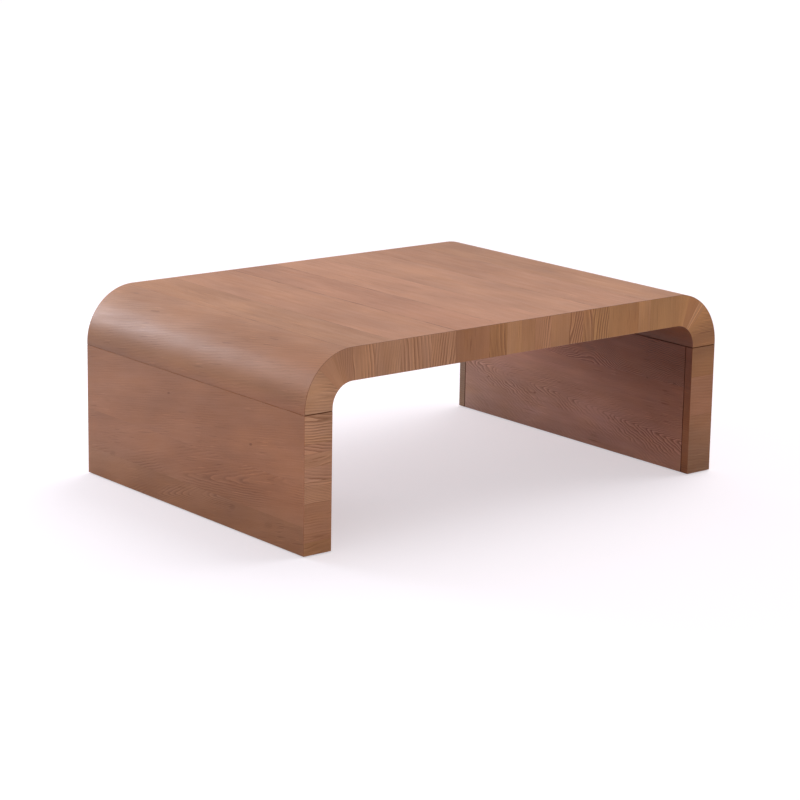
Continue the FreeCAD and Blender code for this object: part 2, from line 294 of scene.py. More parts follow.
def board(name, spans, envelope, sheets, radius=EASE, joints=(), stain=DEEP_STAIN, level_grain=0):
    """One closed board between spans of s, y and d, with the edges that it shares with its envelope
    rounded. sheets gives the leaves of its outer and inner faces ("face"), of its front and back faces
    ("edge") and of its ends ("end"). joints are the (axis, end) sides that meet another board in a dark
    line, and stain is its width. level_grain is the bend where the grain of the front and back runs
    level instead of across the board, or 0."""
    extra = [bend_lines(spans[0]), [], []]
    for sheet in sheets.values():
        for leaf in sheet:
            extra[0].extend(leaf.marks())
    top, bottom = spans[2]
    extra[2].extend(top + (bottom - top) * i / DEPTH_STEPS for i in range(DEPTH_STEPS))
    for axis, end in joints:
        extra[axis].append(envelope[axis][end] + (-stain if end else stain))
    grid = [lines(spans[i], envelope[i], radius, extra[i]) for i in range(3)]
    index = {}
    places = []
    outward = []

    def vertex(p):
        key = tuple(round(v / TINY) for v in p)
        if key not in index:
            moved, out = ease(p, envelope, radius)
            index[key] = len(places)
            places.append(to_world(moved))
            outward.append(out)
        return index[key]

    def rim(p, out, on_envelope):
        """Above 0 on a rounded outer edge, lightened there as wear and as a painted highlight, and down
        to -1 in a joint.
        """
        gaps = [abs(p[axis] - envelope[axis][end]) / stain for axis, end in joints]
        if gaps and min(gaps) < 1.0:
            return min(gaps) - 1.0
        if out is None or not on_envelope:
            return 0.0
        return EDGE_WEAR_AND_SHEEN * (1.0 - max(abs(v) for v in out))

    def offset(p, axis):
        """From -1 at the front to 1 at the back, or on an edge from the outer to the inner side."""
        return (0.0, 2 * p[2] / BOARD - 1, p[1] / HALF_DEPTH)[axis]

    def grain_place(p, axis):
        """Place across the grain and along it."""
        if axis == 1 and level_grain:
            place = to_world(p)
            if level_grain == LEFT_BEND:
                return place.z, place.x + HALF_LENGTH
            return RIGHT_FLOOR - place.z, HALF_LENGTH - place.x
        return ((p[2], p[1]), (p[0], p[2]), (p[0], p[1]))[axis]

    # What each corner tells the nodes of its veneer: its place in the grain, its gaps to the seams and
    # its rim, and the values of its leaf
    polygons = []
    normals = []
    data = {"grain": [], "leaf": [], "heart": [], "rings": [], "figure": [], "look": []}
    for axis, end in FACES:
        value = spans[axis][end]
        u_axis, v_axis = [a for a in range(3) if a != axis]
        on_envelope = abs(value - envelope[axis][end]) < TINY
        facing = [0.0, 0.0, 0.0]
        facing[axis] = 1.0 if end else -1.0
        sheet = sheets[("end", "edge", "face")[axis]]
        for u0, u1 in zip(grid[u_axis], grid[u_axis][1:]):
            for v0, v1 in zip(grid[v_axis], grid[v_axis][1:]):
                corners = []
                for u, v in ((u0, v0), (u1, v0), (u1, v1), (u0, v1)):
                    p = [0.0, 0.0, 0.0]
                    p[axis], p[u_axis], p[v_axis] = value, u, v
                    corners.append(tuple(p))
                # Board space is left-handed
                if (axis == 1) != (end == 1):
                    corners.reverse()
                leaf = leaf_at(sheet, sum(c[0] for c in corners) / 4)
                polygons.append([vertex(c) for c in corners])
                for c in corners:
                    out = outward[vertex(c)] if on_envelope else None
                    normals.append(turn_to_world(c, out if out is not None else facing).normalized())
                    across, along = grain_place(c, axis)
                    data["grain"].append((across + leaf.slant * along, along, leaf.seed * SEED_STEP))
                    data["leaf"].append((*leaf.seam_gaps(c[0]), rim(c, outward[vertex(c)], on_envelope)))
                    data["heart"].append(leaf.heart)
                    data["rings"].append(leaf.rings)
                    data["figure"].append(leaf.figure)
                    data["look"].append(leaf.look(c[0], offset(c, axis)))

    mesh = bpy.data.meshes.new(name)
    mesh.from_pydata(places, [], polygons)
    mesh.polygons.foreach_set("use_smooth", [True] * len(polygons))
    for title, values in data.items():
        layer = mesh.attributes.new(title, "FLOAT_VECTOR", "CORNER")
        layer.data.foreach_set("vector", np.array(values, np.float32).ravel())
    mesh.normals_split_custom_set(normals)
    mesh.validate()
    return add_object(name, mesh)


# Node trees

MIX_A = 6                  # the Mix node's colour sockets
MIX_B = 7
MIX_RESULT = 2


class Tree:
    """Writes a node tree as nested calls. Inputs are sockets or plain values."""

    def __init__(self, tree):
        self.tree = tree

    def node(self, kind, settings=None, **inputs):
        made = self.tree.nodes.new(kind)
        for name, value in (settings or {}).items():
            setattr(made, name, value)
        for name, value in inputs.items():
            self.feed(made.inputs[name.replace("_", " ")], value)
        return made

    def feed(self, socket, value):
        if isinstance(value, bpy.types.NodeSocket):
            self.tree.links.new(value, socket)
        else:
            socket.default_value = value

    def math(self, operation, a, b=0.0, c=0.0, clamp=False):
        made = self.tree.nodes.new("ShaderNodeMath")
        made.operation = operation
        made.use_clamp = clamp
        for socket, value in zip(made.inputs, (a, b, c)):
            self.feed(socket, value)
        return made.outputs[0]

    def vector(self, operation, a, b):
        made = self.tree.nodes.new("ShaderNodeVectorMath")
        made.operation = operation
        self.feed(made.inputs[0], a)
        self.feed(made.inputs[1], b)
        return made.outputs["Vector"]

    def length(self, vector):
        made = self.node("ShaderNodeVectorMath", {"operation": "LENGTH"})
        self.feed(made.inputs[0], vector)
        return made.outputs["Value"]

    def scale(self, vector, factor):
        made = self.node("ShaderNodeVectorMath", {"operation": "SCALE"}, Scale=factor)
        self.feed(made.inputs[0], vector)
        return made.outputs["Vector"]

    def attribute(self, name):
        made = self.tree.nodes.new("ShaderNodeAttribute")
        made.attribute_name = name
        return made.outputs["Vector"]

    def parts(self, vector):
        made = self.tree.nodes.new("ShaderNodeSeparateXYZ")
        self.feed(made.inputs[0], vector)
        return made.outputs[0], made.outputs[1], made.outputs[2]

    def join(self, x, y, z):
        made = self.tree.nodes.new("ShaderNodeCombineXYZ")
        for socket, value in zip(made.inputs, (x, y, z)):
            self.feed(socket, value)
        return made.outputs[0]

    def noise(self, vector, stretch, detail, roughness=0.5):
        made = self.tree.nodes.new("ShaderNodeTexNoise")
        made.inputs["Scale"].default_value = 1.0
        made.inputs["Detail"].default_value = detail
        made.inputs["Roughness"].default_value = roughness
        self.feed(made.inputs["Vector"], self.vector("MULTIPLY", vector, stretch))
        return made.outputs[0]

    def sway(self, vector, stretch, reach):
        """Noise about zero, scaled so that it mostly stays within reach."""
        about_zero = self.math("SUBTRACT", self.noise(vector, stretch, 1.0), 0.5)
        return self.math("MULTIPLY", about_zero, 2 * reach)

    def ramp(self, value, low, high, out_low=0.0, out_high=1.0, smooth=True):
        made = self.tree.nodes.new("ShaderNodeMapRange")
        made.interpolation_type = "SMOOTHSTEP" if smooth else "LINEAR"
        for socket, item in zip(made.inputs[:5], (value, low, high, out_low, out_high)):
            self.feed(socket, item)
        return made.outputs[0]

    def mix(self, factor, a, b, blend="MIX"):
        made = self.tree.nodes.new("ShaderNodeMix")
        made.data_type = "RGBA"
        made.blend_type = blend
        made.clamp_factor = True
        self.feed(made.inputs["Factor"], factor)
        self.feed(made.inputs[MIX_A], a)
        self.feed(made.inputs[MIX_B], b)
        return made.outputs[MIX_RESULT]


def new_material(name):
    made = bpy.data.materials.new(name)
    made.use_nodes = True
    return made, Tree(made.node_tree), made.node_tree.nodes["Principled BSDF"]


def rgb(red, green, blue):
    """Linear colour from 0 to 255 display values."""
    def linear(value):
        share = value / 255
        return share / 12.92 if share <= 0.04045 else ((share + 0.055) / 1.055) ** 2.4
    return (linear(red), linear(green), linear(blue), 1.0)


def scaled(colour, shares):
    """The colour with its red, green and blue multiplied."""
    return tuple(c * share for c, share in zip(colour, shares)) + (1.0,)


def add_noise(t, noise, weight, total, clamp=False):
    """The total and the noise, which is taken about zero and weighted."""
    return t.math("MULTIPLY_ADD", t.math("SUBTRACT", noise, 0.5), weight, total, clamp=clamp)


def emboss(t, shader, height, strength, distance):
    bump = t.node("ShaderNodeBump", Strength=strength, Distance=distance, Height=height)
    t.feed(shader.inputs["Normal"], bump.outputs[0])


# Veneer

COOL_TINT = (0.96, 1.03, 1.30, 1.0)
GOLD_TINT = (1.03, 0.95, 0.68, 1.0)
GAP_COLOUR = (0.075, 0.016, 0.004, 1.0)
LIGHT_WOOD = (1.32, 1.42, 1.56)      # the least and most stained wood, as shares of its colour
DARK_WOOD = (0.67, 0.58, 0.50)
MIDDLE_STAIN = 0.42
LATE_WOOD_STAIN = -0.85              # where the early wood's is 1
KNOT_SHAPE = (1.0, 0.5, 0.0)         # knots and patches are twice as long along the grain
ROUGHNESS = 0.42

# Noise in the veneer: cycles a metre across the grain and along it, and the step from leaf to leaf
WANDER_ACROSS = 11
WOBBLE = (60, 22, 1)
RING_DRIFT = (30, 3, 1)
RING_STRAY = (75, 34, 1)
FIGURE_PATCHES = (26, 9, 1)
PORES = (2100, 110, 1)
FIBRE = (640, 13, 1)
STREAKS = (85, 9, 1)
CLOUDS = (12, 5, 1)
FLECKS = (420, 18, 1)
FLECK_PATCHES = (14, 8, 1)
HUE_PATCHES = (14, 2.2, 1)
MOTTLE = (42, 12, 1)
SEAM_BREAKS = (30, 20, 1)
# patches of the lightened outer edges: wear and painted highlight
WEAR_AND_SHEEN_PATCHES = (70, 70, 1)


def bend_grain(t, grain, across, sweep, knots):
    """Place across the grain as the rings see it, which wander and swing round the knots, and the stain
    of the knots."""
    bent = t.math("ADD", across, t.sway(grain, (WANDER_ACROSS, sweep, 1), 5 * MM))
    bent = t.math("ADD", bent, t.sway(grain, WOBBLE, 1.3 * MM))
    knot_stain = 0.0
    for place, size, depth, swirl in knots:
        gap = t.vector("SUBTRACT", grain, (*place, 0.0))
        gap = t.length(t.vector("MULTIPLY", gap, KNOT_SHAPE))
        if swirl:
            bent = t.math("ADD", bent, t.ramp(gap, 0.0, size * 6, swirl, 0.0))
        knot_stain = t.math("ADD", t.ramp(gap, size * 0.4, size * 1.3, depth, 0.0), knot_stain)
    return bent, knot_stain


def growth_rings(t, grain, along, bent, unruly):
    """How strongly the early wood shows, and the stain of the rings. The rings' number counts up along
    the grain and to either side of the line of their tips."""
    heart, lean, blunt = t.parts(t.attribute("heart"))
    tips, near, far = t.parts(t.attribute("rings"))
    figure, fade, _ = t.parts(t.attribute("figure"))
    side = t.math("SUBTRACT", bent, heart)
    side = t.math("MULTIPLY_ADD", along, lean, side)
    reach = t.math("SQRT", t.math("MULTIPLY_ADD", side, side, t.math("MULTIPLY", blunt, blunt)))
    upper = t.math("MULTIPLY", t.math("ADD", reach, side), t.math("MULTIPLY", near, 0.5))
    lower = t.math("MULTIPLY", t.math("SUBTRACT", reach, side), t.math("MULTIPLY", far, 0.5))
    count = t.math("MULTIPLY", along, tips)
    count = t.math("ADD", count, t.math("ADD", upper, lower))
    count = t.math("ADD", count, t.sway(grain, RING_DRIFT, 0.5))
    count = t.math("ADD", count, t.sway(grain, RING_STRAY, unruly))
    phase = t.math("FRACT", count)
    early = t.math("SUBTRACT", 1.0, t.ramp(phase, 0.06, 0.55))
    early = t.math("MULTIPLY", early, t.ramp(phase, 0.0, 0.14))
    late = t.ramp(phase, 0.55, 0.95)
    late = t.math("MULTIPLY", late, t.ramp(phase, 0.95, 1.0, 1.0, 0.0))
    shown = t.ramp(t.noise(grain, FIGURE_PATCHES, 2.0), 0.36, 0.64, 0.1, 1.2)
    shown = t.math("MULTIPLY", shown, figure)
    faded = t.math("DIVIDE", reach, fade)
    shown = t.math("MULTIPLY", shown, t.ramp(faded, 0.3, 1.0, 1.0, 0.2))
    early = t.math("MULTIPLY", early, shown)
    rings = t.math("MULTIPLY_ADD", late, t.math("MULTIPLY", shown, LATE_WOOD_STAIN), early)
    return early, rings


def warmed(t, grain, shade, warmth):
    """The shade between its cool and its gold tint, with patches."""
    gold = add_noise(t, t.noise(grain, HUE_PATCHES, 1.0), 0.43, warmth)
    gold = add_noise(t, t.noise(grain, MOTTLE, 1.0), 0.5, gold, clamp=True)
    return t.mix(gold, t.mix(1.0, shade, COOL_TINT, "MULTIPLY"), t.mix(1.0, shade, GOLD_TINT, "MULTIPLY"))


def veneer(name, colour, cloudy, streaky, ring_depth, sweep, unruly, seam_depth, joint_depth, joint_hold,
           knots=()):
    """Stained open-grained ash under satin lacquer. cloudy and streaky are how uneven its stain is, sweep
    is how quickly its grain wanders along its length, unruly is how much its rings stray, the depths say
    how dark its rings, seams and joints are, and joint_hold is how unbroken the joints are. knots are
    (place, size, depth of the stain, swirl of the grain round it), and with a depth below 0 they are pale
    patches."""
    made, t, shader = new_material(name)
    grain = t.attribute("grain")
    across, along, _ = t.parts(grain)
    from_seam, to_seam, rim = t.parts(t.attribute("leaf"))
    tone, warmth, dye_and_shade = t.parts(t.attribute("look"))
    bent, knot_stain = bend_grain(t, grain, across, sweep, knots)
    early, rings = growth_rings(t, grain, along, bent, unruly)

    # Pores, mostly in the early wood, fine fibre, and flecks in patches
    pores = t.ramp(t.noise(grain, PORES, 1.0), 0.57, 0.69)
    pores = t.math("MULTIPLY", pores, t.math("MULTIPLY_ADD", early, 0.9, 0.22))
    fibre = t.noise(grain, FIBRE, 2.0, 0.6)
    streak = t.noise(grain, STREAKS, 3.0, 0.6)
    fleck = t.noise(grain, FLECKS, 0.0)
    flecks = t.math("SUBTRACT", t.ramp(fleck, 0.70, 0.78), t.ramp(fleck, 0.20, 0.28, 1.0, 0.0))
    flecks = t.math("MULTIPLY", flecks, t.ramp(t.noise(grain, FLECK_PATCHES, 1.0), 0.46, 0.60))

    # Depth of the stain, from 0 for light to 1 for dark
    stain = t.math("MULTIPLY_ADD", rings, ring_depth, MIDDLE_STAIN)
    stain = add_noise(t, streak, 3 * streaky, stain)
    stain = add_noise(t, fibre, 2 * streaky, stain)
    stain = add_noise(t, t.noise(grain, CLOUDS, 2.0), 4 * cloudy, stain)
    stain = t.math("MULTIPLY_ADD", pores, 0.45, stain)
    stain = t.math("MULTIPLY_ADD", flecks, 3 * streaky, stain)
    stain = t.math("ADD", stain, knot_stain, clamp=True)
    light = scaled(colour, LIGHT_WOOD)
    shade = warmed(t, grain, t.mix(stain, light, scaled(colour, DARK_WOOD)), warmth)

    # Seams between leaves, joints, and the outer edges lightened as wear and as a painted highlight
    nearest = t.math("MINIMUM", from_seam, to_seam)
    broken = t.ramp(t.noise(grain, SEAM_BREAKS, 2.0), 0.40, 0.62)
    seam = t.math("MULTIPLY", t.ramp(nearest, 0.4 * MM, 1.7 * MM, 1.0, 0.0), broken)
    joint = t.ramp(t.math("MULTIPLY", rim, -1.0), 0.0, 0.7)
    joint = t.math("MULTIPLY", joint, t.math("MULTIPLY_ADD", broken, 1 - joint_hold, joint_hold))
    # Rounded outer edges lightened in patches: wear, and a painted highlight where the rounding meets the
    # light
    worn_and_sheen = t.math("MULTIPLY", rim, t.ramp(t.noise(grain, WEAR_AND_SHEEN_PATCHES, 2.0), 0.40, 0.66), clamp=True)
    shade = t.mix(t.math("MULTIPLY", seam, seam_depth), shade, GAP_COLOUR)
    shade = t.mix(t.math("MULTIPLY", joint, joint_depth), shade, GAP_COLOUR)
    shade = t.mix(t.math("MULTIPLY", worn_and_sheen, 0.8), shade, light)
    # Colour scaled by the leaf's tone and reddened by its red value; in some leaves both are painted
    # light and shade
    red_dye_and_shade = t.join(1.0, t.math("MULTIPLY_ADD", dye_and_shade, -0.3, 1.0), t.math("MULTIPLY_ADD", dye_and_shade, -0.45, 1.0))
    t.feed(shader.inputs["Base Color"], t.scale(t.vector("MULTIPLY", shade, red_dye_and_shade), tone))

    rough = add_noise(t, streak, 0.2, ROUGHNESS)
    rough = t.math("MULTIPLY_ADD", pores, 0.15, rough)
    rough = t.math("MULTIPLY_ADD", joint, 0.5, rough)
    t.feed(shader.inputs["Roughness"], rough)
    gloss = t.math("MULTIPLY_ADD", t.math("MAXIMUM", joint, seam), -0.35, 0.5)
    t.feed(shader.inputs["Specular IOR Level"], gloss)
    height = t.math("MULTIPLY_ADD", pores, -0.7, t.math("MULTIPLY", fibre, 0.35))
    height = t.math("MULTIPLY_ADD", early, -0.3, height)
    height = t.math("SUBTRACT", height, seam)
    emboss(t, shader, height, 0.5, 0.12 * MM)
    shader.inputs["IOR"].default_value = 1.5
    return made


# Materials of the hidden nodes, patterned in the table's own space

def bare_wood(name, light, dark, stretch, layer=0.0):
    """Unfinished wood or board. Plywood has layers of the given thickness."""
    made, t, shader = new_material(name)
    coordinates = t.node("ShaderNodeTexCoord").outputs["Object"]
    fibre = t.noise(coordinates, stretch, 4.0, 0.62)
    value = add_noise(t, t.noise(coordinates, (6, 6, 6), 2.0), 0.6, fibre)
    if layer:
        _, _, z = t.parts(coordinates)
        ply = t.math("FRACT", t.math("DIVIDE", z, layer))
        value = t.math("MULTIPLY_ADD", t.ramp(ply, 0.42, 0.58), 0.25, value)
    t.feed(shader.inputs["Base Color"], t.mix(t.ramp(value, 0.3, 0.75), light, dark))
    t.feed(shader.inputs["Roughness"], t.ramp(fibre, 0.2, 0.8, 0.62, 0.82))
    emboss(t, shader, fibre, 0.25, 0.2 * MM)
    return made


def plated_steel(name, colour, roughness):
    """Zinc-plated steel with faint turning marks and blotches."""
    made, t, shader = new_material(name)
    coordinates = t.node("ShaderNodeTexCoord").outputs["Object"]
    marks = t.noise(coordinates, (60, 60, 4200), 2.0)
    blotch = t.noise(coordinates, (160, 160, 160), 3.0)
    dull = scaled(colour, (0.72, 0.72, 0.72))
    t.feed(shader.inputs["Base Color"], t.mix(t.ramp(blotch, 0.35, 0.7), colour, dull))
    shader.inputs["Metallic"].default_value = 1.0
    t.feed(shader.inputs["Roughness"], t.ramp(blotch, 0.2, 0.8, roughness - 0.08, roughness + 0.1))
    emboss(t, shader, marks, 0.2, 0.03 * MM)
    return made


def moulded_plastic(name, colour, roughness):
    """Moulded plastic with a fine eroded texture and scuffs."""
    made, t, shader = new_material(name)
    coordinates = t.node("ShaderNodeTexCoord").outputs["Object"]
    texture = t.noise(coordinates, (2600, 2600, 2600), 2.0)
    scuffs = t.ramp(t.noise(coordinates, (420, 90, 420), 3.0), 0.55, 0.8)
    pale = tuple(c * 1.9 + 0.02 for c in colour[:3]) + (1.0,)
    t.feed(shader.inputs["Base Color"], t.mix(t.math("MULTIPLY", scuffs, 0.5), colour, pale))
    t.feed(shader.inputs["Roughness"], t.math("MULTIPLY_ADD", scuffs, 0.15, roughness))
    emboss(t, shader, texture, 0.3, 0.05 * MM)
    return made


# The dressed pieces

LEG_SLANT = 0.16
FACE_LEAVES = (
    Leaf(0, 0.96, 0.28, 0.6, "feather", 0.65, seam=0.0, slant=LEG_SLANT, dye_and_shade=-0.1),
    Leaf(60, (0.95, 1.0, 1.02), 0.28, 0.5, "crown", 0.2, seam=0.0, drift=(-0.02, -0.05, -0.08),
         slant=LEG_SLANT, dye_and_shade=(0.05, 0.2, 0.2)),
    Leaf(143, (1.01, 0.99, 0.89), (0.28, 0.36, 0.4), 0.2, "straight", 0.1, seam=0.0,
         drift=(-0.06, -0.1, -0.07), slant=LEG_SLANT, dye_and_shade=0.2),
    # Above the left joint the leaf is darker at its start, most of all at the back, and lighter where the
    # bend's highlight falls: painted shade and a painted highlight. It is also redder at its start and at
    # the front.
    Leaf(JOINT / MM, (0.83, 0.95, 1.13, 1.13, 1.08, 1.08, 1.08), 0.39, 0.2, "wide", 1.1, seam=0.0,
         drift=(-0.24, -0.05, 0.0, 0.0, 0.0, 0.02, 0.03), slant=0.14,
         dye_and_shade=(0.3, -0.2, -0.1, 0.0, -0.1, -0.2, -0.25), flush=0.08),
    # On the top the leaves are lighter than on the legs: painted light on the top.
    Leaf(452, 1.10, 0.36, 0.1, "crown", 0.6, seam=0.5, drift=0.01, dye_and_shade=-0.27),
    Leaf(565, 1.17, 0.17, 0.1, "straight", 0.9, seam=0.6, drift=-0.02, dye_and_shade=-0.12),
    Leaf(722, 1.18, 0.02, 0.1, "straight", 0.2, seam=1.5, drift=-0.06, dye_and_shade=0.02),
    Leaf(838, (1.28, 1.28, 1.32), 0.0, 0.1, "crown", 0.4, seam=1.0, drift=-0.02, dye_and_shade=-0.14),
    Leaf(963, 1.23, 0.1, 0.1, "straight", 0.1, seam=0.4, drift=-0.02, dye_and_shade=-0.18),
    Leaf(1110, 1.16, 0.22, 0.1, "straight", 0.8, seam=1.0, drift=-0.05, dye_and_shade=-0.11),
    Leaf(1240, (1.11, 1.07), 0.44, 0.1, "crown", 0.5, seam=0.4, drift=-0.05, dye_and_shade=-0.22),
    Leaf(1372, 1.06, 0.42, 0.1, "straight", 0.2, dye_and_shade=-0.1),
    Leaf(RIGHT_JOINT / MM, 0.98, 0.48, 0.2, "straight", 0.2, seam=0.0),
    Leaf(1655, 0.96, 0.42, 0.4, "crown", 0.5),
)
EDGE_LEAVES = (
    Leaf(0, 0.92, 0.67, 0.5, "bold", 0.3),
    Leaf(28, (1.04, 0.98), 0.28, 0.3, "straight", 0.3, drift=0.01, dye_and_shade=0.25),
    Leaf(105, (1.10, 1.10, 1.04), 0.20, 0.7, "fine", 0.9, dye_and_shade=0.08),
    Leaf(148, 1.09, 0.07, 0.95, "wavy", 0.2, dye_and_shade=0.18),
    Leaf(176, 1.20, 0.12, 1.0, "bold", 0.6, drift=-0.02),
    Leaf(203, 1.05, 0.02, 0.85, "wavy", 0.2, drift=-0.08, dye_and_shade=0.24),
    Leaf(222, (1.30, 1.20, 0.99), 0.2, 0.65, "wavy", 0.9, drift=(-0.07, -0.10, -0.12),
         dye_and_shade=(-0.15, 0.0)),
    Leaf(JOINT / MM, (1.20, 1.19, 1.18, 1.07), 0.28, 0.4, "wavy", 0.4, seam=0.0,
         dye_and_shade=(-0.2, -0.2, -0.1)),
    Leaf(LEFT_MITRE / MM, 1.11, 0.33, 0.1, "straight", 0.2, seam=0.0, dye_and_shade=(0.1, 0.0)),
    Leaf(411, (0.97, 1.0, 1.01), 0.37, 0.3, "wide", 0.1, seam=0.0, drift=(0.05, 0.08), dye_and_shade=0.1),
    Leaf(465, 1.07, 0.33, 0.6, "bold", 0.1),
    Leaf(520, 1.11, 0.33, 0.4, "wide", 0.3, drift=-0.01, dye_and_shade=-0.1),
    Leaf(582, 1.08, 0.31, 0.6, "bold", 0.3, drift=-0.03),
    Leaf(660, 1.11, 0.34, 0.6, "wide", 0.8),
    Leaf(722, (0.78, 0.88), 0.68, 0.1, "straight", 0.2, dye_and_shade=0.3),
    Leaf(810, 0.87, 0.98, 0.65, "bold", 0.2, drift=-0.02, dye_and_shade=0.05),
    Leaf(856, 1.14, 0.64, 0.1, "straight", 0.4, dye_and_shade=-0.18),
    Leaf(895, 1.04, 0.66, 0.1, "straight", 0.4, drift=-0.05, dye_and_shade=-0.05),
    Leaf(930, 0.99, 0.52, 0.9, "wide", 0.2, drift=-0.03, dye_and_shade=0.15),
    Leaf(975, 1.0, 0.67, 0.1, "straight", 0.8, drift=-0.04),
    Leaf(1025, 0.95, 0.65, 0.8, "wavy", 0.3, dye_and_shade=0.14),
    Leaf(1063, 0.89, 0.86, 0.75, "bold", 0.3, drift=-0.125, dye_and_shade=0.06),
    Leaf(1090, 0.89, 0.97, 0.9, "wide", 0.3, dye_and_shade=-0.1),
    Leaf(1135, (0.92, 1.02, 1.15), 0.99, 0.1, "straight", 0.6, drift=(0.04, 0.08), dye_and_shade=-0.15),
    Leaf(1220, 1.08, 0.85, 0.1, "straight", 0.1, drift=-0.01, dye_and_shade=-0.2),
    Leaf(1255, (0.94, 0.94, 1.19), 1.2, 0.1, "straight", 0.1, drift=(0.02, 0.06, -0.03), dye_and_shade=-0.22),
    Leaf(1370, 1.11, 0.9, 0.1, "straight", 0.3, seam=0.0, dye_and_shade=0.05),
    Leaf(1403.5, 1.36, 0.6, 0.1, "straight", 0.3, seam=0.0, dye_and_shade=-0.2),
    Leaf(1406, 1.14, 0.75, 0.1, "straight", 0.3, seam=0.0, dye_and_shade=-0.15),
    Leaf(1413.5, 1.48, 0.6, 0.1, "straight", 0.3, seam=0.0, dye_and_shade=-0.2),
    Leaf(1416.5, 1.12, 0.8, 0.1, "straight", 0.3, seam=0.0, dye_and_shade=-0.1),
    Leaf(RIGHT_MITRE / MM, (1.05, 0.91, 0.82, 0.73, 0.86), 1.1, 0.2, "wavy", 0.3, seam=0.0,
         drift=(-0.05, 0.0, 0.0), dye_and_shade=(-0.1, 0.0, 0.15, 0.15)),
    Leaf(RIGHT_JOINT / MM, (0.66, 0.74, 0.79), 1.1, 0.15, "wide", 0.2, seam=0.0, drift=-0.01,
         dye_and_shade=(0.15, 0.2)),
    Leaf(1586, (0.83, 0.86, 0.88), 0.49, 0.15, "wide", 0.7, dye_and_shade=(0.4, 0.5)),
    Leaf(1671, (0.79, 0.69, 0.64, 0.61), 0.6, 0.15, "wide", 0.5, drift=-0.01, dye_and_shade=(0.35, 0.1)),
)
INNER_LEAVES = (
    Leaf(0, 1.0, 0.41, 0.7, "chevron", 0.4),
    Leaf(190, 1.0, 0.41, 0.7, "arch", 0.6),
    Leaf(JOINT / MM, 0.98, 0.49, 0.5, "straight", 0.2, seam=0.0),
    Leaf(430, 1.0, 0.41, 0.5, "crown", 0.5),
    Leaf(560, 0.98, 0.49, 0.5, "straight", 0.9),
    Leaf(700, 1.02, 0.45, 0.6, "crown", 0.3),
    Leaf(840, 1.0, 0.41, 0.5, "straight", 0.1),
    Leaf(980, 0.98, 0.49, 0.6, "crown", 0.6),
    Leaf(1120, 1.0, 0.45, 0.5, "straight", 0.7),
    Leaf(1250, 0.97, 0.41, 0.5, "crown", 0.4),
    # Under the top near the right bend: darker and redder towards the joint, which is painted shade.
    Leaf(1380, (0.65, 0.57, 0.54, 0.46), 0.95, 0.4, "straight", 0.3, dye_and_shade=(0.5, 0.9, 1.25)),
    # The right leg's inner panel, in this leaf and the next: darker and redder high up and at the front,
    # which is painted shade, and lighter at the back, which is painted light.
    Leaf(RIGHT_JOINT / MM, (0.61, 0.80, 1.0), (1.0, 0.92, 0.66), 1.1, "arch", -0.35, seam=0.0,
         drift=(0.3, 0.42, 0.38), dye_and_shade=(1.65, 1.2, 0.65), flush=0.15),
    Leaf(RIGHT_FLOOR / MM - 190, (1.02, 1.08, 1.06, 1.08, 1.05), (0.72, 0.55, 0.49), 0.8, "chevron", 0.5,
         seam=0.0, drift=(0.36, 0.14, 0.0, -0.03, -0.06), dye_and_shade=(0.65, 0.25, 0.05, -0.1, -0.3),
         flush=0.3),
)
# The inner sides of the front stiles are darker and redder than the veneer, most of all near the right
# joint: painted shade.
FRONT_STILE_LEAVES = (
    Leaf(0, 0.60, 0.46, 0.2, "straight", 0.3, dye_and_shade=1.2),
    Leaf(RIGHT_JOINT / MM, (0.38, 0.43, 0.60, 0.69, 0.71), (1.1, 0.95, 0.8, 0.7, 0.65), 0.2, "straight",
         0.3, seam=0.0, dye_and_shade=(1.8, 1.4, 0.95, 0.75, 0.65)),
)
SHEETS = {
    "face": veneer_sheet(FACE_LEAVES, seed=11),
    "edge": veneer_sheet(EDGE_LEAVES, seed=41),
    "end": veneer_sheet((Leaf(0, 0.85, 0.5, 0.5, "fine", 0.3),), seed=71),
}
INNER_SHEETS = dict(SHEETS, face=veneer_sheet(INNER_LEAVES, seed=83))
VENEER_EDGE = veneer_sheet((Leaf(0, 0.35, 0.5, 0.5, "fine", 0.3),), seed=97)
STILE_FACES = {
    "front": veneer_sheet(FRONT_STILE_LEAVES, seed=61),
    # The inner side of the back stiles is darker than the veneer: painted shade.
    "back": veneer_sheet((Leaf(0, 0.59, 0.14, 0.4, "straight", 0.3, dye_and_shade=-0.37),), seed=67),
}


def leg_knot(s_mm, y_mm, size_mm, depth, swirl_mm=0.0):
    """A knot or dark spot of the left leg's outer face, where the grain climbs."""
    return ((s_mm + LEG_SLANT * y_mm) * MM, y_mm * MM), size_mm * MM, depth, swirl_mm * MM


def inner_knot(z_mm, y_mm, size_mm, depth, swirl_mm=0.0):
    """A knot or patch of the right leg's inner panel."""
    return (RIGHT_FLOOR - z_mm * MM, y_mm * MM), size_mm * MM, depth, swirl_mm * MM


FACE_KNOTS = (
    leg_knot(235, 76, 2.2, 0.9, 4.0),
    leg_knot(188, -207, 2.6, 0.7, 5.0),
    leg_knot(47, -146, 5.5, 0.25),
    leg_knot(38, -266, 7.0, 0.18),
    leg_knot(64, 285, 6.0, 0.25),
)
INNER_KNOTS = (
    inner_knot(85, 115, 2.0, 1.0, 4.0),
    inner_knot(92, 277, 1.8, 1.0, 3.5),
    inner_knot(190, -247, 1.8, 1.0, 3.5),
    inner_knot(192, -330, 2.5, 1.0, 5.0),
    inner_knot(222, -65, 9.0, 0.2, 24.0),
    inner_knot(80, -95, 46.0, -0.36),
    inner_knot(34, -170, 30.0, -0.14),
    inner_knot(105, -330, 58.0, 0.28),
    inner_knot(78, 185, 46.0, 0.13),
    inner_knot(12, 60, 28.0, 0.14),
    inner_knot(212, 70, 32.0, -0.27),
)


